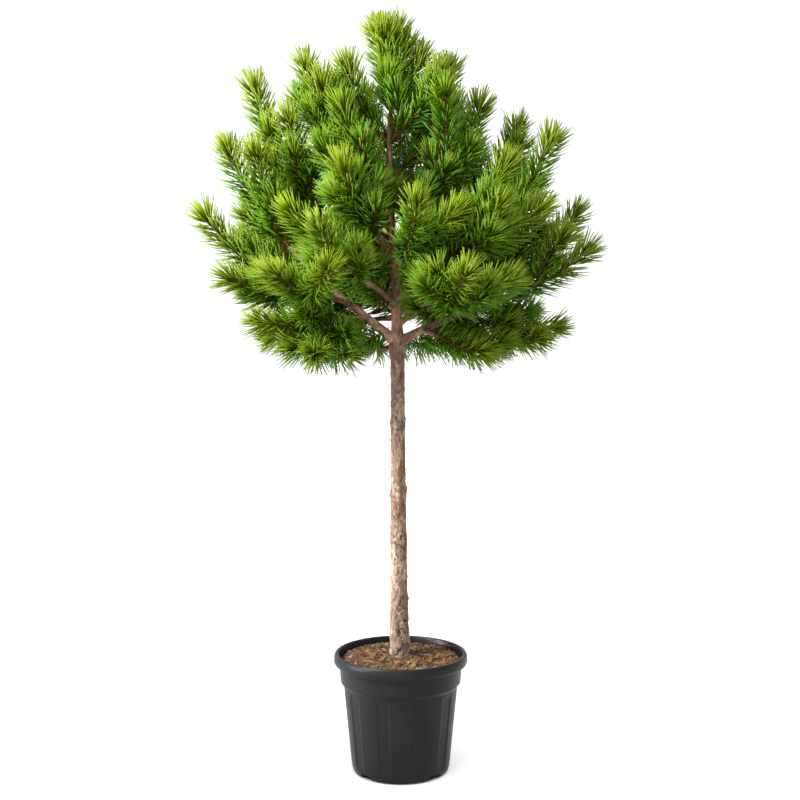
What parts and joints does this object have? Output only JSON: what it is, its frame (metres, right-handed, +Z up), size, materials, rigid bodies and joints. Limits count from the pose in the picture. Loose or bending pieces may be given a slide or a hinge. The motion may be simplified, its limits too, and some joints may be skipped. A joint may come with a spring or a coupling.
{
  "type": "potted italian stone pine",
  "caption": "Young stone pine grown as a standard: clear stem, whorls of rising boughs and a full crown of long-needled shoots, in a fluted nursery pot with bark mulch.",
  "frame": {"origin": "centre of the flat underside of the pot, on the floor", "axes": "+Z up along the stem, +X to the right seen from the front, -Y towards the front"},
  "size_m": [0.8688, 0.7854, 1.5922],
  "materials": {
    "pot_plastic": "satin charcoal",
    "mulch": "rough bark chips",
    "bark": "flaky bark",
    "needles": "soft sheen"
  },
  "bodies": {
    "root": {"pot": "pot_plastic", "bark_mulch": "mulch", "trunk": "bark", "bough_left": "bark", "bough_right": "bark", "bough_rear": "bark", "bough_left_outer": "bark", "bough_left_low": "bark", "bough_front_left_low": "bark", "bough_right_mid": "bark", "bough_right_low": "bark", "bough_right_front_low": "bark", "bough_front_right_low": "bark", "bough_rear_left_low": "bark", "bough_rear_right_low": "bark", "bough_right_upper": "bark", "bough_right_high": "bark", "bough_rear_right": "bark", "bough_left_upper": "bark", "bough_rear_left": "bark", "bough_front_left": "bark", "bough_front_right": "bark", "bough_right_front": "bark", "bough_front_left_upper": "bark", "bough_left_top": "bark", "bough_right_top": "bark", "bough_rear_upper_left": "bark", "bough_rear_upper_right": "bark", "foliage_left": "needles", "foliage_right": "needles", "foliage_rear": "needles", "foliage_left_outer": "needles", "foliage_left_low": "needles", "foliage_front_left_low": "needles", "foliage_right_mid": "needles", "foliage_right_low": "needles", "foliage_right_front_low": "needles", "foliage_front_right_low": "needles", "foliage_rear_left_low": "needles", "foliage_rear_right_low": "needles", "foliage_right_upper": "needles", "foliage_right_high": "needles", "foliage_rear_right": "needles", "foliage_left_upper": "needles", "foliage_rear_left": "needles", "foliage_front_left": "needles", "foliage_front_right": "needles", "foliage_right_front": "needles", "foliage_front_left_upper": "needles", "foliage_left_top": "needles", "foliage_right_top": "needles", "foliage_rear_upper_left": "needles", "foliage_rear_upper_right": "needles", "foliage_rear_low": "needles", "foliage_upper_front_left": "needles", "foliage_upper_right": "needles", "foliage_top_left": "needles", "foliage_top_right": "needles", "foliage_leader": "needles"}
  },
  "joints": []
}
